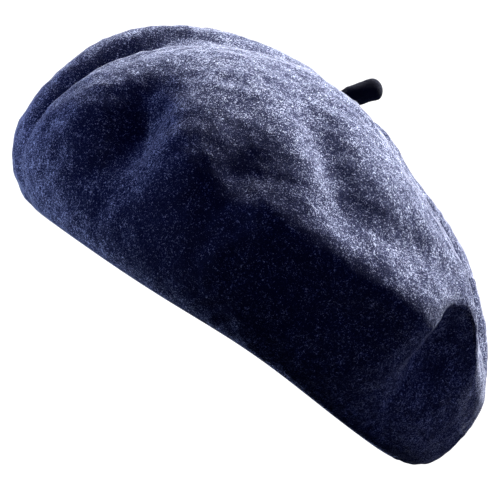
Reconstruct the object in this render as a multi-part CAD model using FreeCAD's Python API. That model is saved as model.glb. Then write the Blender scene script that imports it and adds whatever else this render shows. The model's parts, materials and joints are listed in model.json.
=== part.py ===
# Felted wool beret with a short stalk, the tail, on its crown. Inside are a leather sweatband and a satin lining.
#
# The hat stands on its rim as it would on a round 560 mm head block, with the soft crown puffed up and dented.
# Frame: origin at the centre of the head opening, in the plane of the rim. +Z goes up through the crown, -Y is the
# hat's front, and +Y its back, where the sweatband's ends meet and the size label sits. Millimetres and degrees.
import FreeCAD, Part

import math
import os

# Head opening and rim
HEAD_CIRCUMFERENCE = 560.0
LEATHER_THICK = 1.0
BAND_HEIGHT = 28.0
BAND_END_GAP = 0.8
FELT_THICK = 2.2
HEM_HEIGHT = 14.0
FIT_GAP = 0.2
RIM_WIDTH = 7.0

# Crown height, and how its rows are shared out between the underside and the top
CROWN_HEIGHT = 131.5
UNDERSIDE_LIFT = 1.5
WIDEST_SHARE = 0.36

# The crown's section as it changes round the hat: azimuth, widest radius, the height of that, fullness below it,
# upright fullness above it, fullness on top, and how far the top slopes down outwards.
SECTIONS = [
    (0, 127, 40, 0.78, 0.32, 0.42, 18),
    (24, 132, 41, 0.72, 0.43, 0.69, 15),
    (60, 128, 44, 0.68, 0.48, 0.53, 11),
    (100, 126, 44, 0.66, 0.52, 0.56, 4),
    (135, 130, 40, 0.62, 0.50, 0.58, 3),
    (160, 138, 36, 0.58, 0.48, 0.61, 2),
    (180, 131, 38, 0.54, 0.64, 0.63, 2),
    (200, 127, 38, 0.55, 0.50, 0.56, 4),
    (215, 126, 54, 0.50, 0.48, 0.58, 6),
    (232, 125, 54, 0.50, 0.50, 0.60, 6),
    (250, 122, 54, 0.50, 0.50, 0.62, 7),
    (275, 122, 50, 0.50, 0.48, 0.62, 8),
    (300, 120, 54, 0.50, 0.52, 0.58, 15),
    (325, 120, 76, 0.58, 0.24, 0.68, 27),
    (345, 122, 48, 0.70, 0.28, 0.52, 21),
]

# Dents (and, below zero, swellings): azimuth, height, depth, half width towards lower azimuths, half width towards
# higher ones, half length up the section, tilt to the section.
DENTS = [
    (225, 58, 20, 14, 15, 23, 18),
    (246, 93, 3, 12, 12, 20, 0),
    (256, 71, 7, 9, 9, 16, 0),
    (294, 61, -5, 42, 34, 8, 0),
    (300, 87, 5, 34, 30, 10, 0),
    (272, 101, 9, 9, 9, 27, 40),
    (306, 42, -4, 11, 9, 20, 0),
    (321, 54, 13, 9, 22, 20, 4),
    (8, 84, 8, 7, 7, 40, 0),
    (45, 119, 5, 20, 24, 20, 0),
    (190, 74, 13, 7, 7, 32, 0),
    (169, 60, 8, 6, 6, 26, 0),
    (40, 62, 13, 12, 12, 30, -6),
    (74, 58, 10, 13, 13, 24, 4),
    (112, 70, 16, 14, 14, 32, 8),
    (146, 60, 8, 8, 8, 26, -4),
]
CENTRE_DIMPLE = 5.5
CENTRE_DIMPLE_WIDTH = 12.0
TOP_RING_RADIUS = 3.0
TOP_SHIFT = -9.0
DENT_REACH = 115.0
DENT_FADE_SHARE = 0.12
SHARE_STEPS = 400
LOWEST_DENT_STEP = 120

# Grid of control points on the crown's surfaces
COLUMNS = 72
ROWS = 30

# Tail
TAIL_HOLE_RADIUS = 4.2
TAIL_ROOT_RADIUS = 4.8
TAIL_TIP_RADIUS = 5.5
TAIL_LENGTH = 15.5
TAIL_TIP_FILLET = 4.2
TAIL_LEAN = 38.0
PIVOT_LIFT = 3.4
KNOT_RADIUS = 8.0
KNOT_THICK = 3.0
KNOT_FILLET = 1.2
KNOT_GAP = 1.0
ROOT_STITCHES = 8
ROOT_STITCH_LENGTH = 2.0
ROOT_STITCH_RADIUS = 6.7
ROOT_STITCH_SHARE = 0.978
ROOT_STITCH_DEPTH = 5.3
ROOT_STITCH_LIFT = 0.3

# Lining
LINING_THICK = 0.4
LINING_BOTTOM = 2.0
LINING_STRAIGHT = 44.0
LINING_PROFILE = [(91.6, 52.0), (90.2, 60.0), (83.5, 69.0), (70.0, 77.5)]
TIP_RISE = 7.5
SEAM_GAP = 0.3

# Threads
THREAD_RADIUS = 0.22
STITCH_LENGTH = 3.6
STITCH_COUNT = 92
UPPER_STITCH_LENGTH = 2.5
LOWER_STITCH_DEPTH = 2.6
UPPER_STITCH_DEPTH = 1.5
LOWER_STITCH_HEIGHT = 4.2
UPPER_STITCH_HEIGHT = 25.6
JOINT_STITCHES = 8
JOINT_STITCH_LOW = 7.0
JOINT_STITCH_HIGH = 22.4
JOINT_STITCH_SLANT = 24.0
JOINT_STITCH_DEPTH = 0.8
SEAM_STITCHES = 80
SEAM_STITCH_LENGTH = 2.4
SEAM_STITCH_DEPTH = 0.6
SEAM_TILT = 66.0
SEAM_SPIN = 60.0
SEAM_DROP = 0.1

# Size label
LABEL_WIDTH = 24.0
LABEL_TALL = 12.0
LABEL_THICK = 0.45
LABEL_BOTTOM = 30.0
LABEL_STITCHES = 5
LABEL_STITCH_LENGTH = 1.3

BAND_RADIUS = HEAD_CIRCUMFERENCE / (2 * math.pi)
BAND_OUTER = BAND_RADIUS + LEATHER_THICK
LINING_RADIUS = BAND_OUTER + FIT_GAP
HEM_INNER = LINING_RADIUS + LINING_THICK + FIT_GAP
HEM_OUTER = HEM_INNER + FELT_THICK
RIM_RADIUS = HEM_INNER + RIM_WIDTH
LABEL_RADIUS = LINING_RADIUS - SEAM_GAP - LABEL_THICK
UP = FreeCAD.Vector(0, 0, 1)


def bezier(points, t):
    """The point at t of a cubic Bezier curve through (r, z) control points."""
    weights = ((1 - t) ** 3, 3 * t * (1 - t) ** 2, 3 * t * t * (1 - t), t ** 3)
    r = sum(w * p[0] for w, p in zip(weights, points))
    z = sum(w * p[1] for w, p in zip(weights, points))
    return r, z


def section_values(azimuth):
    """The section's six values at an azimuth, on smooth closed curves through the ones listed."""
    degrees = math.degrees(azimuth) % 360
    count = len(SECTIONS)
    i = max(k for k in range(count) if SECTIONS[k][0] <= degrees)
    before, start, end, after = (SECTIONS[(i + k) % count] for k in (-1, 0, 1, 2))
    span = (end[0] - start[0]) % 360
    span_before = (end[0] - before[0]) % 360
    span_after = (after[0] - start[0]) % 360
    t = (degrees - start[0]) / span
    values = []
    for k in range(1, len(start)):
        slope_start = (end[k] - before[k]) / span_before * span
        slope_end = (after[k] - start[k]) / span_after * span
        bend = 2 * (start[k] - end[k]) + slope_start + slope_end
        turn = 3 * (end[k] - start[k]) - 2 * slope_start - slope_end
        values.append(start[k] + t * (slope_start + t * (turn + t * bend)))
    return values


def plain_crown(azimuth, share):
    """A point of the crown's outer surface before it is dented: share is 0 at the rim and 1 at the top ring."""
    radius, widest, lower, upright, across, drop = section_values(azimuth)
    if share < WIDEST_SHARE:
        under = [
            (RIM_RADIUS, 0.0),
            (RIM_RADIUS + lower * (radius - RIM_RADIUS), UNDERSIDE_LIFT * lower),
            (radius, widest * (1 - lower)),
            (radius, widest),
        ]
        r, z = bezier(under, share / WIDEST_SHARE)
        return FreeCAD.Vector(r * math.cos(azimuth), r * math.sin(azimuth), z)
    over = [
        (radius, widest),
        (radius, widest + upright * (CROWN_HEIGHT - widest)),
        (across * radius, CROWN_HEIGHT - drop),
        (TOP_RING_RADIUS, CROWN_HEIGHT),
    ]
    climb = (share - WIDEST_SHARE) / (1 - WIDEST_SHARE)
    r, z = bezier(over, climb)
    shift = TOP_SHIFT * climb * climb * (3 - 2 * climb)
    return FreeCAD.Vector(shift + r * math.cos(azimuth), r * math.sin(azimuth), z)


def normal_of(surface, azimuth, share):
    """The outward normal of a surface given as a function of azimuth and share."""
    step = 0.004
    low, high = max(0.0, share - step), min(1.0, share + step)
    around = surface(azimuth + step, share) - surface(azimuth - step, share)
    up = surface(azimuth, high) - surface(azimuth, low)
    return around.cross(up).normalize()


def dent_frames():
    """Each dent's centre on the plain crown, with its two axes in the surface, its sizes and its depth."""
    frames = []
    for azimuth_deg, height, depth, width_low, width_high, half_length, tilt in DENTS:
        azimuth = math.radians(azimuth_deg)
        shares = [k / SHARE_STEPS for k in range(LOWEST_DENT_STEP, SHARE_STEPS)]
        share = min(shares, key=lambda s: abs(plain_crown(azimuth, s).z - height))
        centre = plain_crown(azimuth, share)
        normal = normal_of(plain_crown, azimuth, share)
        turn = FreeCAD.Rotation(normal, tilt)
        across = turn.multVec(FreeCAD.Vector(-math.sin(azimuth), math.cos(azimuth), 0))
        frames.append((centre, across, normal.cross(across), width_low, width_high, half_length, depth))
    return frames


FRAMES = dent_frames()


def outer_crown(azimuth, share):
    """A point of the crown's outer surface, with its dents. They fade out at the rim and at the top ring."""
    point = plain_crown(azimuth, share)
    pushed = 0.0
    for centre, across, along, width_low, width_high, half_length, depth in FRAMES:
        offset = point - centre
        if offset.Length < DENT_REACH:
            a, b = offset.dot(across), offset.dot(along) / half_length
            a = a / (width_low if a < 0 else width_high)
            pushed += depth * math.exp(-0.5 * (a * a + b * b))
    hold = min(1.0, share / DENT_FADE_SHARE, (1 - share) / DENT_FADE_SHARE)
    from_tail = math.hypot(point.x - TOP_SHIFT, point.y)
    dimple = CENTRE_DIMPLE * math.exp(-0.5 * (from_tail / CENTRE_DIMPLE_WIDTH) ** 2)
    return point - normal_of(plain_crown, azimuth, share) * pushed * hold - UP * dimple


def inner_crown(azimuth, share):
    """A point of the felt's inner face. Its first and last rings are flat, so that they can be closed."""
    if share <= 0:
        return FreeCAD.Vector(RIM_RADIUS * math.cos(azimuth), RIM_RADIUS * math.sin(azimuth), FELT_THICK)
    if share >= 1:
        return outer_crown(azimuth, 1.0) - UP * FELT_THICK
    return outer_crown(azimuth, share) - normal_of(outer_crown, azimuth, share) * FELT_THICK


def closed_dome(surface):
    """A solid under a smooth B-spline skin whose control points lie on the surface, closed by flat caps."""
    poles = []
    for i in range(ROWS):
        share = i / (ROWS - 1)
        poles.append([surface(2 * math.pi * j / COLUMNS, share) for j in range(COLUMNS)])
    spans = ROWS - 3
    u_knots, u_mults = list(range(spans + 1)), [4] + [1] * (spans - 1) + [4]
    v_knots, v_mults = list(range(COLUMNS + 1)), [1] * (COLUMNS + 1)
    skin = Part.BSplineSurface()
    skin.buildFromPolesMultsKnots(poles, u_mults, v_mults, u_knots, v_knots, False, True, 3, 3)
    side = skin.toShape()
    rings = [e for e in side.Edges if e.BoundBox.ZLength < 0.01]
    caps = [Part.Face(Part.Wire([e])) for e in rings]
    shell = Part.makeShell([side] + caps)
    shell.sewShape()
    solid = Part.Solid(shell)
    if solid.Volume < 0:
        solid.reverse()
    return solid


def tube(inner, outer, bottom, height):
    """A plain ring about the Z axis."""
    base = FreeCAD.Vector(0, 0, bottom)
    return Part.makeCylinder(outer, height, base).cut(Part.makeCylinder(inner, height, base))


def above_tail_hole(height):
    """A point over the middle of the tail's hole, at a height above the felt's outer face there."""
    return FreeCAD.Vector(TOP_SHIFT, 0, outer_crown(0.0, 1.0).z + height)


def crown_felt():
    """The felt: one piece from the tail's hole out over the edge, under to the rim and up again as the hem."""
    felt = closed_dome(outer_crown).cut(closed_dome(inner_crown))
    opening = Part.makeCylinder(HEM_INNER, 2 * FELT_THICK, FreeCAD.Vector(0, 0, -FELT_THICK / 2))
    hole = Part.makeCylinder(TAIL_HOLE_RADIUS, 3 * FELT_THICK, above_tail_hole(-2 * FELT_THICK))
    return felt.cut(opening).cut(hole).fuse(tube(HEM_INNER, HEM_OUTER, 0, HEM_HEIGHT)).removeSplitter()


def pivot():
    """The point at the tail's root that it bends about."""
    return above_tail_hole(PIVOT_LIFT)


def tail():
    """The tail: a round-ended felt stalk that leans to the +X side, with a ball root that turns in the crown's hole."""
    end, tip, fillet = TAIL_LENGTH, TAIL_TIP_RADIUS, TAIL_TIP_FILLET
    corner = FreeCAD.Vector(tip - fillet, 0, end - fillet)
    diagonal = fillet * math.sqrt(0.5)
    root_low = FreeCAD.Vector(0, 0, -TAIL_ROOT_RADIUS)
    root_mid = FreeCAD.Vector(TAIL_ROOT_RADIUS * math.sqrt(0.5), 0, -TAIL_ROOT_RADIUS * math.sqrt(0.5))
    root_side = FreeCAD.Vector(TAIL_ROOT_RADIUS, 0, 0)
    tip_side = FreeCAD.Vector(tip, 0, end - fillet)
    tip_mid = corner + FreeCAD.Vector(diagonal, 0, diagonal)
    tip_top = FreeCAD.Vector(tip - fillet, 0, end)
    tip_centre = FreeCAD.Vector(0, 0, end)
    edges = [
        Part.Arc(root_low, root_mid, root_side).toShape(),
        Part.LineSegment(root_side, tip_side).toShape(),
        Part.Arc(tip_side, tip_mid, tip_top).toShape(),
        Part.LineSegment(tip_top, tip_centre).toShape(),
        Part.LineSegment(tip_centre, root_low).toShape(),
    ]
    stalk = Part.Face(Part.Wire(edges)).revolve(FreeCAD.Vector(), UP, 360)
    stalk.rotate(FreeCAD.Vector(), FreeCAD.Vector(0, 1, 0), TAIL_LEAN)
    stalk.translate(pivot())
    return stalk


def tail_knot():
    """The tail's inner end, pressed into a button that lies under the felt and can't pull out through the hole."""
    low = above_tail_hole(-FELT_THICK - KNOT_GAP - KNOT_THICK)
    button = Part.makeCylinder(KNOT_RADIUS, KNOT_THICK, low)
    return button.makeFillet(KNOT_FILLET, button.Edges)


def staple(length, depth, radius=THREAD_RADIUS):
    """One stitch: a thread that lies along X on a face at Y 0 and goes down into it, towards +Y, at both ends."""
    half = length / 2
    along = FreeCAD.Vector(1, 0, 0)
    inward = FreeCAD.Vector(0, 1, 0)
    solid = Part.makeCylinder(radius, length, FreeCAD.Vector(-half, 0, 0), along)
    for x in (-half, half):
        end = FreeCAD.Vector(x, 0, 0)
        solid = solid.fuse(Part.makeCylinder(radius, depth, end, inward)).fuse(Part.makeSphere(radius, end))
    return solid.removeSplitter()


def placed(shape, azimuth_deg, radius, height, tilt_deg=0.0, spin_deg=0.0):
    """A copy of a stitch made on the XZ plane, tilted and spun there, moved out to a radius and turned about Z."""
    copy = shape.copy()
    copy.rotate(FreeCAD.Vector(), FreeCAD.Vector(0, 1, 0), spin_deg)
    copy.rotate(FreeCAD.Vector(), FreeCAD.Vector(1, 0, 0), tilt_deg)
    copy.translate(FreeCAD.Vector(0, radius, height))
    copy.rotate(FreeCAD.Vector(), UP, azimuth_deg - 90)
    return copy


def stitch_ring(height, length, depth):
    """A ring of equal stitches on the inside of the sweatband. None lies over the join at the back."""
    one = staple(length, depth)
    azimuths = [90 + 360.0 * (k + 0.5) / STITCH_COUNT for k in range(STITCH_COUNT)]
    return Part.Compound([placed(one, azimuth, BAND_RADIUS, height) for azimuth in azimuths])


def sweatband():
    """The leather strip, bent round the opening, with its ends a hair apart at the back."""
    ring = tube(BAND_RADIUS, BAND_OUTER, 0, BAND_HEIGHT)
    slot = Part.makeBox(BAND_END_GAP, 4 * LEATHER_THICK, 2 * BAND_HEIGHT)
    slot.translate(FreeCAD.Vector(-BAND_END_GAP / 2, BAND_RADIUS - LEATHER_THICK, -BAND_HEIGHT / 2))
    return ring.cut(slot)


def sweatband_stitches():
    """The ring near the rim, through the leather and the lining into the felt hem."""
    return stitch_ring(LOWER_STITCH_HEIGHT, STITCH_LENGTH, LOWER_STITCH_DEPTH)


def lining_stitches():
    """The ring near the leather's top edge, through it into the lining."""
    return stitch_ring(UPPER_STITCH_HEIGHT, UPPER_STITCH_LENGTH, UPPER_STITCH_DEPTH)


def sweatband_joint_stitches():
    """Slanting stitches that draw the strip's two ends together, between its two rings of stitches."""
    one = staple(STITCH_LENGTH, JOINT_STITCH_DEPTH)
    step = (JOINT_STITCH_HIGH - JOINT_STITCH_LOW) / (JOINT_STITCHES - 1)
    heights = [JOINT_STITCH_LOW + step * k for k in range(JOINT_STITCHES)]
    return Part.Compound([placed(one, 90, BAND_RADIUS, z, 0, JOINT_STITCH_SLANT) for z in heights])


def spun(outline):
    """A solid of revolution about Z from a closed outline in the XZ plane."""
    return Part.Face(Part.Wire(outline)).revolve(FreeCAD.Vector(), UP, 360)


def line(a, b):
    return Part.LineSegment(FreeCAD.Vector(a[0], 0, a[1]), FreeCAD.Vector(b[0], 0, b[1])).toShape()


def spline(points):
    curve = Part.BSplineCurve()
    curve.interpolate([FreeCAD.Vector(r, 0, z) for r, z in points])
    return curve.toShape()


def lining_side():
    """The side of the lining: straight up behind the sweatband, then out and in again to the tip's seam."""
    inside = [(LINING_RADIUS, LINING_BOTTOM), (LINING_RADIUS, LINING_STRAIGHT)] + LINING_PROFILE
    outside = [(r + LINING_THICK, z) for r, z in inside]
    return spun([
        line(inside[0], inside[1]),
        spline(inside[1:]),
        line(inside[-1], outside[-1]),
        spline(outside[1:]),
        line(outside[1], outside[0]),
        line(outside[0], inside[0]),
    ])


def lining_tip():
    """The round top panel of the lining, slightly domed."""
    radius, seam = LINING_PROFILE[-1]
    edge = radius - SEAM_GAP
    ball = (edge * edge + TIP_RISE * TIP_RISE) / (2 * TIP_RISE)
    centre = FreeCAD.Vector(0, 0, seam + TIP_RISE - ball)
    shell = Part.makeSphere(ball + LINING_THICK, centre).cut(Part.makeSphere(ball, centre))
    column = Part.makeCylinder(edge, 4 * TIP_RISE, FreeCAD.Vector(0, 0, seam - 1))
    return shell.common(column)


def lining_seam_stitches():
    """Whip stitches on the inside, across the seam between the lining's tip and its side."""
    radius, seam = LINING_PROFILE[-1]
    one = staple(SEAM_STITCH_LENGTH, SEAM_STITCH_DEPTH)
    azimuths = [360.0 * k / SEAM_STITCHES for k in range(SEAM_STITCHES)]
    return Part.Compound([placed(one, a, radius, seam - SEAM_DROP, SEAM_TILT, SEAM_SPIN) for a in azimuths])


def tail_stitches():
    """Short stitches round the tail's root, from the felt's top face down through it into the knot."""
    one = staple(ROOT_STITCH_LENGTH, ROOT_STITCH_DEPTH)
    one.rotate(FreeCAD.Vector(), FreeCAD.Vector(1, 0, 0), -90)
    one.translate(FreeCAD.Vector(ROOT_STITCH_RADIUS, 0, 0))
    ring = []
    for k in range(ROOT_STITCHES):
        azimuth = 360.0 * (k + 0.5) / ROOT_STITCHES
        felt = outer_crown(math.radians(azimuth), ROOT_STITCH_SHARE).z
        copy = one.copy()
        copy.rotate(FreeCAD.Vector(), UP, azimuth)
        copy.translate(FreeCAD.Vector(TOP_SHIFT, 0, felt + ROOT_STITCH_LIFT))
        ring.append(copy)
    return Part.Compound(ring)


def size_label():
    """A small blank woven label on the lining at the back, just above the sweatband."""
    ring = tube(LABEL_RADIUS, LABEL_RADIUS + LABEL_THICK, LABEL_BOTTOM, LABEL_TALL)
    block = Part.makeBox(LABEL_WIDTH, LABEL_WIDTH, LABEL_TALL)
    block.translate(FreeCAD.Vector(-LABEL_WIDTH / 2, LABEL_RADIUS - LABEL_WIDTH / 2, LABEL_BOTTOM))
    return ring.common(block)


def label_stitches():
    """A column of stitches down each end of the label, through it into the lining."""
    one = staple(LABEL_STITCH_LENGTH, LABEL_THICK + SEAM_GAP + LINING_THICK / 2)
    reach = math.degrees((LABEL_WIDTH / 2 - LABEL_STITCH_LENGTH) / LABEL_RADIUS)
    column = []
    for azimuth in (90 - reach, 90 + reach):
        for k in range(LABEL_STITCHES):
            height = LABEL_BOTTOM + LABEL_TALL * (k + 1) / (LABEL_STITCHES + 1)
            column.append(placed(one, azimuth, LABEL_RADIUS, height, 0, 90))
    return Part.Compound(column)


PARTS = {
    "crown_felt": crown_felt,
    "tail": tail,
    "tail_knot": tail_knot,
    "tail_stitches": tail_stitches,
    "sweatband": sweatband,
    "sweatband_stitches": sweatband_stitches,
    "sweatband_joint_stitches": sweatband_joint_stitches,
    "lining_side": lining_side,
    "lining_tip": lining_tip,
    "lining_seam_stitches": lining_seam_stitches,
    "lining_stitches": lining_stitches,
    "size_label": size_label,
    "label_stitches": label_stitches,
}

os.makedirs("parts", exist_ok=True)
for name, make in PARTS.items():
    shape = make()
    shape.exportStep(f"parts/{name}.step")
    print(f"{name}: {len(shape.Solids)} solids, {shape.Volume:.1f} mm3, valid {shape.isValid()}")
print(f"tail pivot {pivot().z:.2f}, band radius {BAND_RADIUS:.3f}, hem inner {HEM_INNER:.3f}, rim {RIM_RADIUS:.3f}")
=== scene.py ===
"""Looks of a navy felted-wool beret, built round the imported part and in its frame, in metres."""

import json
import math

import bmesh
import bpy
import numpy as np
from mathutils import Matrix, Vector


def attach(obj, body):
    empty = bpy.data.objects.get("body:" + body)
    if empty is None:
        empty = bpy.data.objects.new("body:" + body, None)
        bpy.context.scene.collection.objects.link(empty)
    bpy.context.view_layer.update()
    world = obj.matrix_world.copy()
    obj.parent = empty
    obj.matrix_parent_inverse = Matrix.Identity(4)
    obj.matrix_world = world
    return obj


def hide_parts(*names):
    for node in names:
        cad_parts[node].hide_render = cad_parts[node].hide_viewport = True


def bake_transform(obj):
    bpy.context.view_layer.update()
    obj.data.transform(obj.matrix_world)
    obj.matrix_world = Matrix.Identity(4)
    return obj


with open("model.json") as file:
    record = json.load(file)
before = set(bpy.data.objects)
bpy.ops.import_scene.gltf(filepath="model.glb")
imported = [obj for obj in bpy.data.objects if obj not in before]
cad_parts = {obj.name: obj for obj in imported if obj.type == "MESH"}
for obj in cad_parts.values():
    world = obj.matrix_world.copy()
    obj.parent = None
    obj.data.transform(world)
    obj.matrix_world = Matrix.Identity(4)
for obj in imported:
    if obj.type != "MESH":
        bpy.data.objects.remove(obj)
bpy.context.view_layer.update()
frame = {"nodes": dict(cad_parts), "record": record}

MM = 0.001
TURN = 2 * math.pi
SPECK = 1e-4

# The crown's driving sizes, the same as the CAD part's. Shape values are in millimetres and degrees.
RIM_RADIUS = 97.927
HEM_INNER = 90.927
HEM_HEIGHT = 14.0
FELT_THICK = 2.2
CROWN_HEIGHT = 131.5
WIDEST_SHARE = 0.36
UNDERSIDE_LIFT = 1.5
TOP_RING_RADIUS = 3.0
TOP_SHIFT = -9.0
CENTRE_DIMPLE = 5.5
CENTRE_DIMPLE_WIDTH = 12.0

# The crown's section: azimuth, widest radius, its height, fullness below it, upright fullness above,
# fullness on top, and how far the top slopes down outwards.
SECTIONS = [
    (0, 127, 40, 0.78, 0.32, 0.42, 18),
    (24, 132, 41, 0.72, 0.43, 0.69, 15),
    (60, 128, 44, 0.68, 0.48, 0.53, 11),
    (100, 126, 44, 0.66, 0.52, 0.56, 4),
    (135, 130, 40, 0.62, 0.50, 0.58, 3),
    (160, 138, 36, 0.58, 0.48, 0.61, 2),
    (180, 131, 38, 0.54, 0.64, 0.63, 2),
    (200, 127, 38, 0.55, 0.50, 0.56, 4),
    (215, 126, 54, 0.50, 0.48, 0.58, 6),
    (232, 125, 54, 0.50, 0.50, 0.60, 6),
    (250, 122, 54, 0.50, 0.50, 0.62, 7),
    (275, 122, 50, 0.50, 0.48, 0.62, 8),
    (300, 120, 54, 0.50, 0.52, 0.58, 15),
    (325, 120, 76, 0.58, 0.24, 0.68, 27),
    (345, 122, 48, 0.70, 0.28, 0.52, 21),
]

# Dents (and, below zero, swellings): azimuth, height, depth, half width towards lower azimuths,
# half width towards higher ones, half length up the section, tilt.
DENTS = [
    (225, 58, 20, 14, 15, 23, 18),
    (246, 93, 3, 12, 12, 20, 0),
    (256, 71, 7, 9, 9, 16, 0),
    (294, 61, -5, 42, 34, 8, 0),
    (300, 87, 5, 34, 30, 10, 0),
    (272, 101, 9, 9, 9, 27, 40),
    (306, 42, -4, 11, 9, 20, 0),
    (321, 54, 13, 9, 22, 20, 4),
    (8, 84, 8, 7, 7, 40, 0),
    (45, 119, 5, 20, 24, 20, 0),
    (190, 74, 13, 7, 7, 32, 0),
    (169, 60, 8, 6, 6, 26, 0),
    (40, 62, 13, 12, 12, 30, -6),
    (74, 58, 10, 13, 13, 24, 4),
    (112, 70, 16, 14, 14, 32, 8),
    (146, 60, 8, 8, 8, 26, -4),
]

# How far a dent acts from its centre, the share of the section over which dents fade at its two ends,
# and how finely a section is searched for a dent's centre.
DENT_REACH = 115.0
DENT_FADE_SHARE = 0.12
DENT_LOWEST_SHARE = 0.3
DENT_SEARCH_STEPS = 400
NORMAL_STEP = 0.004

# The soft rim's lift, where it is highest, how wide it is, and the height at which it has faded out.
RIM_ARCH = 3.6
ARCH_MIDDLE = 22.0
ARCH_WIDTH = 48.0
ARCH_FADE = 30.0

# The felt's mesh, the soft lumps in its face as (height, size, seed), and the share of the section
# over which they start at the rim.
COLUMNS = 380
OUTER_ROWS = 190
INNER_ROWS = 24
INNER_LOWEST_SHARE = 0.08
LUMPS = [(0.32, 13.0, 3), (0.14, 5.5, 4)]
LUMPS_START_SHARE = 0.06

# The felt's fold at the opening and its hem: points as (radius, height), waves as (height, count, phase).
RIM_FLAT = [(95.5, 0.02), (94.0, 0.02)]
RIM_FOLD = 1.3
FOLD_STEPS = 4
HEM_PLAY = 0.05
HEM_DROP = 0.7
HEM_WAVES = [(0.35, 5, 0.7), (0.25, 11, 2.0)]
HEM_ROUND = 1.0
HEM_STEPS = 6
HEM_ROWS = (4.0, 8.0)
HEM_FOOT_GAP = 0.4

# Tail: the flare at its root as (height over the pivot, radius), then the stalk and its round tip.
# The root bends from upright at its foot to ROOT_LEAN of the stalk's lean at the pivot.
TAIL_LEAN = math.radians(38.0)
TAIL_LENGTH = 15.5
TAIL_RADIUS = 4.95
TAIL_SPREAD = 0.6
TIP_ROUND = 4.4
ROOT_FOOT = 3.4
ROOT_FLARE = [(-4.3, 6.9), (-3.3, 6.3), (-2.5, 5.75), (-1.6, 5.35), (-1.0, 5.05), (0.0, 4.95)]
ROOT_LEAN = 0.8
ROOT_BEND = 1.5
STALK_START = 0.9
STALK_RINGS = 9
TIP_RINGS = 8
TIP_LEAST_RADIUS = 0.12
TAIL_COLUMNS = 48
TAIL_LUMPS = [(0.12, 5.0, 9), (0.04, 2.0, 10)]
TAIL_LUMPS_START = 3

# Sweatband: its size, the heights of its mesh's rows on its inner and outer face, the dimples at its
# stitches (depth and half width) and its rounded edges (depth and reach).
BAND_RADIUS = 89.127
BAND_THICK = 1.0
BAND_HEIGHT = 28.0
BAND_GAP = 0.8
BAND_COLUMNS = 368
BAND_ROWS = (0.15, 0.5, 2.2, 4.2, 6.2, 10, 14, 18, 22, 24, 25.6, 26.8, 27.6, 27.9)
BAND_BACK_ROWS = (27.8, 20, 8, 0.2)
BAND_BACK_INSET = 0.1
BAND_FOOT = 0.02
STITCH_COUNT = 92
STITCH_HEIGHTS = (4.2, 25.6)
STITCH_PULL = 0.05
STITCH_DIMPLE = 1.1
EDGE_ROUND = 0.22
EDGE_REACH = 0.35

# Lining: the side panel's section as (radius, height), the rise of the tip, and the depth of the folds.
# The side's folds grow over FOLD_RISE above the straight part and fade over FOLD_FADE below the seam.
LINING_RADIUS = 90.327
LINING_STRAIGHT = 44.0
LINING_PROFILE = [
    (LINING_RADIUS, 2.0),
    (LINING_RADIUS, 23.0),
    (LINING_RADIUS, LINING_STRAIGHT),
    (91.6, 52.0),
    (90.2, 60.0),
    (83.5, 69.0),
    (70.0, 77.5),
]
SIDE_COLUMNS = 540
SIDE_ROWS = 60
SIDE_FOLD = 0.55
FOLD_RISE = 14
FOLD_FADE = 10
FOLD_LEAST = 0.15
TIP_RISE = 7.5
TIP_COLUMNS = 360
TIP_ROWS = 34
TIP_LIFT = 0.1
TIP_FOLD = 0.35
TIP_FOLD_REACH = 14
TIP_FOLD_START = 1.5
SATIN_THICK = 0.4

# Label: its size and place, the folded hem at its two ends, its bulge between the stitches and a ripple.
LABEL_RADIUS = 89.577
LABEL_BOTTOM = 30.0
LABEL_TALL = 12.0
LABEL_WIDTH = 24.0
LABEL_COLUMNS = 48
LABEL_ROWS = 24
LABEL_HEM = 0.14
LABEL_HEM_SHARE = 0.86
LABEL_BULGE = 0.25
LABEL_RIPPLE = 0.05


# ---------------------------------------------------------------- shape of the crown

def bezier(p0, p1, p2, p3, t):
    return (1 - t) ** 3 * p0 + 3 * t * (1 - t) ** 2 * p1 + 3 * t * t * (1 - t) * p2 + t ** 3 * p3


def section_values(azimuth):
    """The section's six values at an azimuth, on smooth closed curves through the ones listed."""
    table = np.array(SECTIONS, float)
    count = len(table)
    degrees = np.degrees(azimuth) % 360
    i = (np.searchsorted(table[:, 0], degrees, side="right") - 1) % count
    before, start, end, after = (table[(i + k) % count] for k in (-1, 0, 1, 2))
    span = ((end - start) % 360)[..., :1]
    span_before = ((end - before) % 360)[..., :1]
    span_after = ((after - start) % 360)[..., :1]
    t = ((degrees - start[..., 0]) / span[..., 0])[..., None]
    slope_start = (end - before) / span_before * span
    slope_end = (after - start) / span_after * span
    bend = 2 * (start - end) + slope_start + slope_end
    turn = 3 * (end - start) - 2 * slope_start - slope_end
    values = start + t * (slope_start + t * (turn + t * bend))
    return [values[..., k] for k in range(1, table.shape[1])]


def plain_crown(azimuth, share):
    """The crown's outer surface before it is dented: share is 0 at the rim and 1 at the top ring."""
    azimuth, share = np.asarray(azimuth, float), np.asarray(share, float)
    radius, widest, lower, upright, across, drop = section_values(azimuth)
    under = np.clip(share / WIDEST_SHARE, 0, 1)
    out = RIM_RADIUS + lower * (radius - RIM_RADIUS)
    r_low = bezier(RIM_RADIUS, out, radius, radius, under)
    z_low = bezier(0.0, UNDERSIDE_LIFT * lower, widest * (1 - lower), widest, under)
    climb = np.clip((share - WIDEST_SHARE) / (1 - WIDEST_SHARE), 0, 1)
    r_high = bezier(radius, radius, across * radius, TOP_RING_RADIUS, climb)
    shoulder = widest + upright * (CROWN_HEIGHT - widest)
    z_high = bezier(widest, shoulder, CROWN_HEIGHT - drop, CROWN_HEIGHT, climb)
    r = np.where(share < WIDEST_SHARE, r_low, r_high)
    z = np.where(share < WIDEST_SHARE, z_low, z_high)
    shift = TOP_SHIFT * climb * climb * (3 - 2 * climb)
    return np.stack([shift + r * np.cos(azimuth), r * np.sin(azimuth), z], axis=-1)


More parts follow.
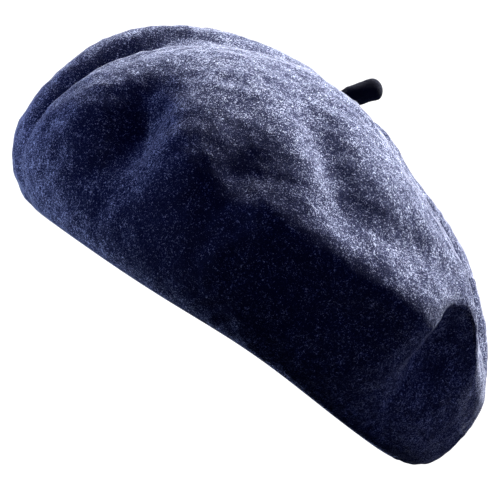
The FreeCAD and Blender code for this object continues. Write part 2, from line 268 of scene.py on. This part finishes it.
def unit(v):
    return v / np.maximum(np.linalg.norm(v, axis=-1, keepdims=True), 1e-12)


def normals_of(surface, azimuth, share):
    """Outward normals of a surface given as a function of azimuth and share."""
    low, high = np.clip(share - NORMAL_STEP, 0, 1), np.clip(share + NORMAL_STEP, 0, 1)
    around = surface(azimuth + NORMAL_STEP, share) - surface(azimuth - NORMAL_STEP, share)
    up = surface(azimuth, high) - surface(azimuth, low)
    return unit(np.cross(around, up))


def dent_frames():
    """Each dent's centre on the plain crown, with its two axes in the surface, its sizes and its depth."""
    frames = []
    shares = np.linspace(DENT_LOWEST_SHARE, 1.0, DENT_SEARCH_STEPS)
    for azimuth_deg, height, depth, width_low, width_high, half_length, tilt in DENTS:
        azimuth = np.array(math.radians(azimuth_deg))
        meridian = plain_crown(np.full_like(shares, azimuth), shares)
        share = shares[np.argmin(np.abs(meridian[:, 2] - height))]
        centre = plain_crown(azimuth, share)
        normal = normals_of(plain_crown, azimuth, np.array(share))
        turn = Matrix.Rotation(math.radians(tilt), 3, Vector(normal))
        across = np.array(turn @ Vector((-math.sin(azimuth), math.cos(azimuth), 0.0)))
        frames.append((centre, across, np.cross(normal, across), width_low, width_high, half_length, depth))
    return frames


FRAMES = dent_frames()


def outer_crown(azimuth, share):
    """Points of the crown's outer surface, with its dents. They fade out at the rim and at the top ring."""
    point = plain_crown(azimuth, share)
    pushed = np.zeros(point.shape[:-1])
    for centre, across, along, width_low, width_high, half_length, depth in FRAMES:
        offset = point - centre
        a, b = offset @ across, offset @ along / half_length
        a = a / np.where(a < 0, width_low, width_high)
        near = np.linalg.norm(offset, axis=-1) < DENT_REACH
        pushed += np.where(near, depth * np.exp(-0.5 * (a * a + b * b)), 0.0)
    hold = np.minimum(1.0, np.minimum(share, 1 - share) / DENT_FADE_SHARE)
    from_tail = np.hypot(point[..., 0] - TOP_SHIFT, point[..., 1])
    point = point - normals_of(plain_crown, azimuth, share) * (pushed * hold)[..., None]
    point[..., 2] -= CENTRE_DIMPLE * np.exp(-0.5 * (from_tail / CENTRE_DIMPLE_WIDTH) ** 2)
    return point


def arched(points):
    """Lifts the rim a little in the middle of its two sides, because a soft rim doesn't lie quite flat."""
    points = np.array(points, float)
    lift = RIM_ARCH * np.exp(-((points[..., 0] - ARCH_MIDDLE) / ARCH_WIDTH) ** 2)
    points[..., 2] += lift * np.clip(1 - points[..., 2] / ARCH_FADE, 0, 1) ** 2
    return points


def smooth_noise(points, size, seed):
    """Soft random height, about -1 to 1: a sum of waves in random directions, each about size long."""
    rng = np.random.default_rng(seed)
    total = np.zeros(points.shape[:-1])
    waves = 26
    for _ in range(waves):
        direction = unit(rng.normal(size=3))
        length = size * rng.uniform(0.7, 1.6)
        total += np.sin(points @ direction * (TURN / length) + rng.uniform(0, TURN))
    return total * math.sqrt(2 / waves) * 0.7


def lumpy(points, lumps):
    """The sum of several layers of soft random height."""
    return sum(height * smooth_noise(points, size, seed) for height, size, seed in lumps)


# ---------------------------------------------------------------- mesh helpers

def mesh_object(name, vertices, faces):
    mesh = bpy.data.meshes.new(name)
    mesh.from_pydata([tuple(v) for v in vertices], [], faces)
    mesh.validate()
    mesh.update()
    mesh.shade_smooth()
    made = bpy.data.objects.new(name, mesh)
    bpy.context.scene.collection.objects.link(made)
    return made


def swept(name, sections, close_around=True, close_section=False):
    """A mesh from a grid of points: sections[i][j] is point j of section i, in millimetres."""
    grid = np.asarray(sections, float) * MM
    count, length = grid.shape[:2]
    faces = []
    for i in range(count if close_around else count - 1):
        k = (i + 1) % count
        for j in range(length if close_section else length - 1):
            m = (j + 1) % length
            faces.append((i * length + j, k * length + j, k * length + m, i * length + m))
    return mesh_object(name, grid.reshape(-1, 3), faces)


def reworked(made, work_on):
    """Changes an object's mesh with a function of its bmesh."""
    work = bmesh.new()
    work.from_mesh(made.data)
    work_on(work)
    work.to_mesh(made.data)
    work.free()
    made.data.shade_smooth()
    return made


def cap(work):
    """Closes open ends."""
    bmesh.ops.holes_fill(work, edges=[e for e in work.edges if e.is_boundary], sides=0)
    bmesh.ops.recalc_face_normals(work, faces=work.faces)


def weld(work):
    """Joins points that lie on each other, such as a disc's centre."""
    bmesh.ops.remove_doubles(work, verts=work.verts, dist=1e-6)


def thickened(made, thickness):
    """Gives a sheet its thickness, half of it on each side."""
    modifier = made.modifiers.new("thickness", "SOLIDIFY")
    modifier.thickness = thickness * MM
    modifier.offset = 0.0
    solid = made.evaluated_get(bpy.context.evaluated_depsgraph_get())
    mesh = bpy.data.meshes.new_from_object(solid)
    made.modifiers.clear()
    made.data = mesh
    made.data.shade_smooth()
    return made


def round_z(radius, azimuth, height):
    """A point from its distance to the Z axis, its azimuth and its height."""
    return (radius * math.cos(azimuth), radius * math.sin(azimuth), height)


# ---------------------------------------------------------------- material helpers

# The places of the mix node's two colour inputs and its colour result: their names aren't unique.
MIX_FIRST = 6
MIX_SECOND = 7
MIX_RESULT = 2

# How much paler the wool is painted where the felt is seen at a slant than straight on (a painted sheen),
# the slant from which that stays the same, the slant at which a painted pale glow for loose fibres lit from
# behind begins at the felt's edge, and its colour.
PAINTED_SHEEN_SHARE = 0.12
SLANT_LIMIT = 0.5
PAINTED_FIBRE_GLOW_START = 0.80
PAINTED_FIBRE_GLOW_COLOUR = (0.80, 0.83, 0.95)


def material(name):
    """A new node material: returns it with its node tree and its Principled shader."""
    made = bpy.data.materials.new(name)
    made.use_nodes = True
    return made, made.node_tree, made.node_tree.nodes["Principled BSDF"]


def node(tree, kind, **inputs):
    """Adds a node. Keyword names are input names with spaces as underscores."""
    made = tree.nodes.new(kind)
    for key, value in inputs.items():
        made.inputs[key.replace("_", " ")].default_value = value
    return made


def on_object(tree, texture):
    """Lays a texture node out in the object's own coordinates."""
    coords = tree.nodes.new("ShaderNodeTexCoord")
    tree.links.new(coords.outputs["Object"], texture.inputs["Vector"])
    return texture


def noise(tree, scale, detail=2.0, roughness=0.5, distortion=0.0):
    settings = {"Scale": scale, "Detail": detail, "Roughness": roughness, "Distortion": distortion}
    return on_object(tree, node(tree, "ShaderNodeTexNoise", **settings)).outputs["Fac"]


def ramp(tree, source, stops):
    """A colour ramp on a value: stops are (position, colour)."""
    made = tree.nodes.new("ShaderNodeValToRGB")
    elements = made.color_ramp.elements
    while len(elements) < len(stops):
        elements.new(0.5)
    for element, (position, colour) in zip(elements, stops):
        element.position = position
        element.color = (*colour, 1.0)
    tree.links.new(source, made.inputs["Fac"])
    return made.outputs["Color"]


def grey_ramp(tree, source, low, high):
    """A ramp from one grey level to another: low and high are (position, level)."""
    return ramp(tree, source, [(low[0], (low[1],) * 3), (high[0], (high[1],) * 3)])


def sum_of(tree, *terms):
    """The weighted sum of values: each term is (value, weight)."""
    total = None
    for value, weight in terms:
        scaled = tree.nodes.new("ShaderNodeMath")
        scaled.operation = "MULTIPLY_ADD"
        tree.links.new(value, scaled.inputs[0])
        scaled.inputs[1].default_value = weight
        if total is None:
            scaled.inputs[2].default_value = 0.0
        else:
            tree.links.new(total, scaled.inputs[2])
        total = scaled.outputs[0]
    return total


def mixed(tree, factor, first, second):
    """A colour that turns from the first, a socket, to the second, a fixed colour, with the factor."""
    made = tree.nodes.new("ShaderNodeMix")
    made.data_type = "RGBA"
    tree.links.new(factor, made.inputs["Factor"])
    tree.links.new(first, made.inputs[MIX_FIRST])
    made.inputs[MIX_SECOND].default_value = (*second, 1.0)
    return made.outputs[MIX_RESULT]


def add_bump(tree, shader, height, distance, strength):
    made = node(tree, "ShaderNodeBump", Strength=strength, Distance=distance)
    tree.links.new(height, made.inputs["Height"])
    tree.links.new(made.outputs["Normal"], shader.inputs["Normal"])


# ---------------------------------------------------------------- materials

def felt_material(name, dark, middle, light, start, sheen, painted_fibre_glow):
    """Heather felt: dark wool with pale fibres in it, a soft lumpy face, a painted sheen that makes it paler
    where it is seen at a slant, and a painted pale glow at its edges that stands for loose fibres lit from
    behind.
    """
    made, tree, shader = material(name)
    specks = noise(tree, 2000, 3.0, 0.62, 0.6)
    clumps = noise(tree, 800, 2.0, 0.6, 0.8)
    clouds = noise(tree, 160, 2.0, 0.5)
    level = sum_of(tree, (specks, 0.62), (clumps, 0.28), (clouds, 0.10))
    edge = node(tree, "ShaderNodeLayerWeight", Blend=0.5).outputs["Facing"]
    slant = grey_ramp(tree, edge, (0.0, 0.0), (SLANT_LIMIT, SLANT_LIMIT))
    # Painted sheen: the wool's colour is made paler where the felt is seen at a slant.
    level_and_painted_sheen = sum_of(tree, (level, 1.0), (slant, PAINTED_SHEEN_SHARE))
    stops = [(start - 0.10, dark), (start, dark), (start + 0.045, middle), (start + 0.12, light)]
    wool = ramp(tree, level_and_painted_sheen, stops)
    # Painted highlight: a pale glow is mixed into the colour at the felt's edges, for loose fibres lit from
    # behind.
    painted_fibre_glow_mask = grey_ramp(tree, edge, (PAINTED_FIBRE_GLOW_START, 0.0), (1.0, painted_fibre_glow))
    tree.links.new(mixed(tree, painted_fibre_glow_mask, wool, PAINTED_FIBRE_GLOW_COLOUR), shader.inputs["Base Color"])
    tree.links.new(grey_ramp(tree, clumps, (0.3, 0.86), (0.7, 0.98)), shader.inputs["Roughness"])
    shader.inputs["Specular IOR Level"].default_value = 0.12
    shader.inputs["Sheen Weight"].default_value = sheen
    shader.inputs["Sheen Roughness"].default_value = 0.2
    shader.inputs["Sheen Tint"].default_value = (0.80, 0.84, 1.0, 1.0)
    add_bump(tree, shader, level, 0.0016, 1.0)
    return made


def satin_material():
    """Satin: a tight glossy weave whose shine is drawn out one way, with soft pulls."""
    made, tree, shader = material("lining_satin")
    clouds = noise(tree, 45)
    weave = noise(tree, 2600, 1.0)
    colour = ramp(tree, clouds, [(0.35, (0.010, 0.012, 0.030)), (0.65, (0.018, 0.022, 0.052))])
    tree.links.new(colour, shader.inputs["Base Color"])
    tree.links.new(grey_ramp(tree, weave, (0.0, 0.26), (1.0, 0.46)), shader.inputs["Roughness"])
    shader.inputs["Anisotropic"].default_value = 0.5
    shader.inputs["Sheen Weight"].default_value = 0.25
    shader.inputs["Sheen Roughness"].default_value = 0.3
    add_bump(tree, shader, sum_of(tree, (clouds, 0.8), (weave, 0.2)), 0.0006, 0.5)
    return made


def leather_material():
    """Smooth black leather with a fine pebble grain and a few creases."""
    made, tree, shader = material("sweatband_leather")
    cells = on_object(tree, node(tree, "ShaderNodeTexVoronoi", Scale=1100.0)).outputs["Distance"]
    clouds = noise(tree, 60, 3.0, 0.6)
    colour = ramp(tree, clouds, [(0.3, (0.014, 0.011, 0.011)), (0.7, (0.032, 0.025, 0.023))])
    tree.links.new(colour, shader.inputs["Base Color"])
    tree.links.new(grey_ramp(tree, clouds, (0.3, 0.36), (0.7, 0.52)), shader.inputs["Roughness"])
    add_bump(tree, shader, sum_of(tree, (cells, 0.5), (clouds, 0.5)), 0.0005, 0.6)
    return made


def thread_material(name, dark, light):
    """Twisted thread: fine slanting bands."""
    made, tree, shader = material(name)
    wave = node(tree, "ShaderNodeTexWave", Scale=900.0, Distortion=2.0, Detail=1.0)
    bands = on_object(tree, wave).outputs["Fac"]
    tree.links.new(ramp(tree, bands, [(0.2, dark), (0.8, light)]), shader.inputs["Base Color"])
    tree.links.new(grey_ramp(tree, bands, (0.0, 0.60), (1.0, 0.75)), shader.inputs["Roughness"])
    add_bump(tree, shader, bands, 0.0002, 0.6)
    return made


def label_material():
    """Woven ribbon: a fine grid of warp and weft."""
    made, tree, shader = material("label_ribbon")
    threads = []
    for direction in ("X", "Z"):
        bands = on_object(tree, node(tree, "ShaderNodeTexWave", Scale=330.0, Distortion=0.4, Detail=1.0))
        bands.bands_direction = direction
        threads.append(bands.outputs["Fac"])
    weave = sum_of(tree, (threads[0], 0.5), (threads[1], 0.5))
    colour = ramp(tree, weave, [(0.2, (0.36, 0.35, 0.32)), (0.8, (0.62, 0.61, 0.57))])
    tree.links.new(colour, shader.inputs["Base Color"])
    tree.links.new(grey_ramp(tree, weave, (0.0, 0.62), (1.0, 0.82)), shader.inputs["Roughness"])
    add_bump(tree, shader, weave, 0.0003, 0.6)
    return made


# ---------------------------------------------------------------- the felt crown

def rim_profile(azimuth):
    """The felt's fold at the opening and its hem, from the rim's outer ring to the hem's outer foot."""
    wave = sum(height * math.sin(count * azimuth + phase) for height, count, phase in HEM_WAVES)
    shoulder = HEM_HEIGHT - HEM_DROP + wave - HEM_ROUND
    inner, outer = HEM_INNER + HEM_PLAY, HEM_INNER + FELT_THICK
    points = list(RIM_FLAT)
    for k in range(FOLD_STEPS + 1):
        angle = math.pi / 2 * k / FOLD_STEPS
        points.append((inner + RIM_FOLD - RIM_FOLD * math.sin(angle), RIM_FOLD - RIM_FOLD * math.cos(angle)))
    points += [(inner, HEM_ROWS[0]), (inner, HEM_ROWS[1]), (inner, shoulder)]
    middle, half = (inner + outer) / 2, (outer - inner) / 2
    for k in range(1, HEM_STEPS):
        angle = math.pi * k / HEM_STEPS
        points.append((middle - half * math.cos(angle), shoulder + HEM_ROUND * math.sin(angle)))
    points += [(outer, HEM_ROWS[1]), (outer, FELT_THICK + HEM_FOOT_GAP)]
    return points


def felt_crown():
    """One felt shell: outer face, fold at the rim, hem, and inner face back up to the tail's hole."""
    azimuths = np.linspace(0, TURN, COLUMNS, endpoint=False)
    a, s = np.meshgrid(azimuths, np.linspace(1, 0, OUTER_ROWS), indexing="ij")
    outer = outer_crown(a, s)
    calm = np.minimum(1.0, s / LUMPS_START_SHARE)
    outer = outer + normals_of(outer_crown, a, s) * (lumpy(outer, LUMPS) * calm)[..., None]
    a, s = np.meshgrid(azimuths, np.linspace(INNER_LOWEST_SHARE, 1, INNER_ROWS), indexing="ij")
    inner = outer_crown(a, s) - normals_of(outer_crown, a, s) * FELT_THICK
    inner[:, -1] = outer_crown(azimuths, np.ones(COLUMNS)) - np.array([0, 0, FELT_THICK])
    sections = []
    for i, azimuth in enumerate(azimuths):
        fold = [round_z(r, azimuth, z) for r, z in rim_profile(azimuth)]
        sections.append(np.concatenate([outer[i], np.array(fold), inner[i]]))
    return swept("felt_crown", arched(sections), close_section=True)


# ---------------------------------------------------------------- the tail

def tail_rings(pivot):
    """The tail's rings from its root to its tip: centre, lean and radius of each."""
    rings = []
    for height, radius in ROOT_FLARE:
        lean = ROOT_LEAN * TAIL_LEAN * max(0.0, (height + ROOT_FOOT) / ROOT_FOOT) ** ROOT_BEND
        rings.append((pivot + np.array([0, 0, height]), lean, radius))
    straight = np.array([math.sin(TAIL_LEAN), 0, math.cos(TAIL_LEAN)])
    for length in np.linspace(STALK_START, TAIL_LENGTH - TIP_ROUND, STALK_RINGS):
        radius = TAIL_RADIUS + TAIL_SPREAD * length / TAIL_LENGTH
        rings.append((pivot + straight * length, TAIL_LEAN, radius))
    tip_radius = rings[-1][2]
    for k in range(1, TIP_RINGS + 1):
        angle = math.pi / 2 * k / TIP_RINGS
        length = TAIL_LENGTH - TIP_ROUND + TIP_ROUND * math.sin(angle)
        radius = max(tip_radius * math.cos(angle), TIP_LEAST_RADIUS)
        rings.append((pivot + straight * length, TAIL_LEAN, radius))
    return rings


def tail_stalk(pivot):
    """The tail: flared where it grows out of the felt, then a softly lumpy stalk with a round end."""
    rings = tail_rings(pivot)
    sections = []
    for k in range(TAIL_COLUMNS):
        turn = TURN * k / TAIL_COLUMNS
        line = []
        for centre, lean, radius in rings:
            side = np.array([math.cos(lean), 0, -math.sin(lean)]) * math.cos(turn)
            line.append(centre + radius * (side + np.array([0, 1, 0]) * math.sin(turn)))
        sections.append(line)
    sections = np.array(sections)
    outward = sections - np.array([ring[0] for ring in rings])
    calm = np.clip(np.linalg.norm(outward, axis=-1) / TAIL_LUMPS_START, 0, 1)
    sections = sections + unit(outward) * (lumpy(sections, TAIL_LUMPS) * calm)[..., None]
    return reworked(swept("tail_stalk", sections), cap)


# ---------------------------------------------------------------- leather, lining, label

def leather_band():
    """The sweatband: rounded edges, and slight pulls where the stitches hold it."""
    gap = BAND_GAP / 2 / BAND_RADIUS
    outer = BAND_RADIUS + BAND_THICK
    sections = []
    for k in range(BAND_COLUMNS + 1):
        azimuth = math.pi / 2 + gap + (TURN - 2 * gap) * k / BAND_COLUMNS
        pull = STITCH_PULL * (1 + math.cos(azimuth * STITCH_COUNT))
        section = []
        for z in BAND_ROWS:
            near = sum(math.exp(-((z - height) / STITCH_DIMPLE) ** 2) for height in STITCH_HEIGHTS)
            edge = EDGE_ROUND * math.exp(-min(z, BAND_HEIGHT - z) / EDGE_REACH)
            section.append(round_z(BAND_RADIUS + pull * near + edge, azimuth, z))
        section.append(round_z(outer - BAND_THICK / 2, azimuth, BAND_HEIGHT))
        section += [round_z(outer - BAND_BACK_INSET, azimuth, z) for z in BAND_BACK_ROWS]
        section.append(round_z(outer - BAND_THICK / 2, azimuth, BAND_FOOT))
        sections.append(section)
    band = swept("leather_sweatband", arched(sections), close_around=False, close_section=True)
    return reworked(band, cap)


def resampled(points, count):
    """Points evenly spread along a smooth line through a few."""
    pts = np.array(points, float)
    steps = np.concatenate([[0], np.cumsum(np.linalg.norm(np.diff(pts, axis=0), axis=1))])
    padded = np.vstack([2 * pts[0] - pts[1], pts, 2 * pts[-1] - pts[-2]])
    out = []
    for d in np.linspace(0, steps[-1], count):
        i = min(int(np.searchsorted(steps, d, side="right")) - 1, len(pts) - 2)
        t = (d - steps[i]) / (steps[i + 1] - steps[i])
        a, b, c, e = padded[i:i + 4]
        square = (2 * a - 5 * b + 4 * c - e) * t * t
        cube = (3 * b - a - 3 * c + e) * t ** 3
        out.append(0.5 * (2 * b + (c - a) * t + square + cube))
    return np.array(out)


def satin_side():
    """The lining's side panel, with soft upright folds above the sweatband that fade at the seam."""
    profile = resampled(LINING_PROFILE, SIDE_ROWS)
    seam = LINING_PROFILE[-1][1]
    sections = []
    for k in range(SIDE_COLUMNS):
        azimuth = TURN * k / SIDE_COLUMNS
        fold = 1.0 + math.sin(40 * azimuth + 1.3 * math.sin(3 * azimuth))
        fold += 0.5 * math.sin(23 * azimuth + 2 * math.sin(5 * azimuth))
        section = []
        for r, z in profile:
            rise = min(1.0, max(0.0, (z - LINING_STRAIGHT) / FOLD_RISE))
            fade = min(1.0, max(FOLD_LEAST, (seam - z) / FOLD_FADE))
            section.append(round_z(r + SATIN_THICK / 2 - SIDE_FOLD * rise * fade * fold, azimuth, z))
        sections.append(section)
    return thickened(swept("satin_lining_side", arched(sections)), SATIN_THICK)


def satin_tip():
    """The lining's round top panel, with faint folds that run in from its seam."""
    seam_radius, seam = LINING_PROFILE[-1]
    sections = []
    for k in range(TIP_COLUMNS):
        azimuth = TURN * k / TIP_COLUMNS
        section = []
        for j in range(TIP_ROWS):
            r = seam_radius * (1 - j / (TIP_ROWS - 1)) + SPECK
            inward = seam_radius - r
            dome = TIP_RISE * (1 - (r / seam_radius) ** 2)
            swell = math.exp(-inward / TIP_FOLD_REACH) * (1 - math.exp(-inward / TIP_FOLD_START))
            fold = TIP_FOLD * swell * math.sin(36 * azimuth + 2 * math.sin(4 * azimuth))
            section.append(round_z(r, azimuth, seam + dome + TIP_LIFT + fold))
        sections.append(section)
    return thickened(reworked(swept("satin_lining_tip", sections), weld), SATIN_THICK)


def ribbon_label():
    """The blank size label: a strip of ribbon with folded ends, a little proud between its stitches."""
    reach = LABEL_WIDTH / 2 / LABEL_RADIUS
    sections = []
    for k in range(LABEL_COLUMNS + 1):
        share = k / LABEL_COLUMNS * 2 - 1
        hem = LABEL_HEM if abs(share) > LABEL_HEM_SHARE else 0.0
        section = []
        for j in range(LABEL_ROWS + 1):
            bulge = LABEL_BULGE * (1 - share ** 4) * math.sin(math.pi * j / LABEL_ROWS)
            swell = bulge + LABEL_RIPPLE * math.sin(6 * share + 0.4 * j)
            height = LABEL_BOTTOM + LABEL_TALL * j / LABEL_ROWS
            section.append(round_z(LABEL_RADIUS - swell - hem, math.pi / 2 - reach * share, height))
        sections.append(section)
    return thickened(swept("ribbon_label", sections, close_around=False), SATIN_THICK)


# ---------------------------------------------------------------- build

NAVY, MID_BLUE, PALE = (0.004, 0.007, 0.040), (0.036, 0.045, 0.13), (0.78, 0.84, 1.0)
felt = felt_material("heather_felt", NAVY, MID_BLUE, PALE, 0.538, 0.18, 0.35)
BLACK, CHARCOAL, GREY = (0.002, 0.003, 0.012), (0.006, 0.007, 0.026), (0.02, 0.024, 0.06)
tail_felt = felt_material("tail_felt", BLACK, CHARCOAL, GREY, 0.60, 0.05, 0.03)
satin = satin_material()
leather = leather_material()
navy_thread = thread_material("navy_thread", (0.016, 0.018, 0.045), (0.06, 0.066, 0.13))
pale_thread = thread_material("pale_thread", (0.40, 0.40, 0.40), (0.70, 0.70, 0.72))
ribbon = label_material()


def dress(made, surface, stands_for):
    """Gives a piece its material and hides the CAD node it stands for."""
    made.data.materials.clear()
    made.data.materials.append(surface)
    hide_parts(stands_for)


crown = felt_crown()
dress(crown, felt, "crown_felt")
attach(crown, "hat")

bend = next(joint for joint in frame["record"]["behaviour"]["joints"] if joint["name"] == "tail_bend")
pivot = np.array(bend["pos_m"])
stalk = tail_stalk(pivot / MM)
dress(stalk, tail_felt, "tail")
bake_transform(stalk)

band = leather_band()
dress(band, leather, "sweatband")
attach(band, "hat")

side = satin_side()
dress(side, satin, "lining_side")
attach(side, "hat")

tip = satin_tip()
dress(tip, satin, "lining_tip")
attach(tip, "hat")

label = ribbon_label()
dress(label, ribbon, "size_label")
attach(label, "hat")

CARRIED_OVER = {
    "tail_knot": tail_felt,
    "tail_stitches": navy_thread,
    "sweatband_stitches": navy_thread,
    "sweatband_joint_stitches": navy_thread,
    "lining_seam_stitches": navy_thread,
    "lining_stitches": navy_thread,
    "label_stitches": pale_thread,
}
for name, surface in CARRIED_OVER.items():
    part = frame["nodes"][name]
    part.data.materials.clear()
    part.data.materials.append(surface)


# ---------------------------------------------------------------- floor, light, camera

def white_to_camera(tree, otherwise, output, white):
    """Shows the camera plain white where every other ray meets a dim surface or sky."""
    seen = tree.nodes.new("ShaderNodeLightPath")
    both = tree.nodes.new("ShaderNodeMixShader")
    tree.links.new(seen.outputs["Is Camera Ray"], both.inputs[0])
    tree.links.new(otherwise.outputs[0], both.inputs[1])
    tree.links.new(white.outputs[0], both.inputs[2])
    tree.links.new(both.outputs[0], output.inputs["Surface"])


# The floor and the sky are white to the camera, and dim to the light that reaches the hat.
BACKDROP_WHITE = 1.15
FLOOR_HALF = 4.0
FLOOR_HEIGHT = -0.0004
corners = [(x, y, FLOOR_HEIGHT) for x, y in ((-1, -1), (1, -1), (1, 1), (-1, 1))]
floor = mesh_object("floor", [(x * FLOOR_HALF, y * FLOOR_HALF, z) for x, y, z in corners], [(0, 1, 2, 3)])
paper, tree, shader = material("floor_paper")
shader.inputs["Base Color"].default_value = (0.015, 0.015, 0.016, 1)
shader.inputs["Roughness"].default_value = 0.9
glow = node(tree, "ShaderNodeEmission", Color=(1, 1, 1, 1), Strength=BACKDROP_WHITE)
white_to_camera(tree, shader, tree.nodes["Material Output"], glow)
floor.data.materials.append(paper)
floor.visible_shadow = False

world = bpy.data.worlds.new("studio")
bpy.context.scene.world = world
world.use_nodes = True
tree = world.node_tree
sky = tree.nodes["Background"]
sky.inputs["Color"].default_value = (0.12, 0.20, 1.0, 1)
sky.inputs["Strength"].default_value = 0.24
white = node(tree, "ShaderNodeBackground", Color=(1, 1, 1, 1), Strength=BACKDROP_WHITE)
white_to_camera(tree, sky, tree.nodes["World Output"], white)


LAMP_TARGET = Vector((-0.01, 0, 0.07))


def area_light(name, at, size, power, colour=(1.0, 1.0, 1.0)):
    """A round lamp that shines at the middle of the hat."""
    data = bpy.data.lights.new(name, "AREA")
    data.color = colour
    data.shape = "DISK"
    data.size = size
    data.energy = power
    lamp = bpy.data.objects.new(name, data)
    lamp.location = at
    lamp.rotation_mode = "QUATERNION"
    lamp.rotation_quaternion = (LAMP_TARGET - Vector(at)).to_track_quat("-Z", "Y")
    bpy.context.scene.collection.objects.link(lamp)


area_light("key", (0.06, 0.46, 1.20), 0.9, 81)
area_light("back", (0.20, 1.40, 0.55), 1.2, 8)
COOL = (0.50, 0.60, 1.0)
area_light("fill", (-1.25, 0.12, -0.40), 0.30, 11, COOL)
area_light("low_fill", (-0.90, 0.80, -0.60), 0.30, 13, COOL)

# The camera: the width it sees where the hat is, its distance, how high it stands, its roll, and its aim.
WIDTH_SEEN = 0.2365
DISTANCE = 2.2
ELEVATION = math.radians(-0.7)
ROLL = math.radians(34.95)
AIM = Vector((-0.0088, 0, 0.0459))
SENSOR_WIDTH = 36
lens_data = bpy.data.cameras.new("camera")
lens_data.sensor_width = SENSOR_WIDTH
lens_data.lens = lens_data.sensor_width * DISTANCE / WIDTH_SEEN
camera = bpy.data.objects.new("camera", lens_data)
bpy.context.scene.collection.objects.link(camera)
toward_camera = Vector((0, -math.cos(ELEVATION), math.sin(ELEVATION)))
camera.location = AIM + toward_camera * DISTANCE
camera.rotation_mode = "QUATERNION"
level = (-toward_camera).to_track_quat("-Z", "Y")
camera.rotation_quaternion = level @ Matrix.Rotation(ROLL, 4, "Z").to_quaternion()
bpy.context.scene.camera = camera
bpy.context.scene.view_settings.view_transform = "Standard"
bpy.context.scene.view_settings.look = "None"
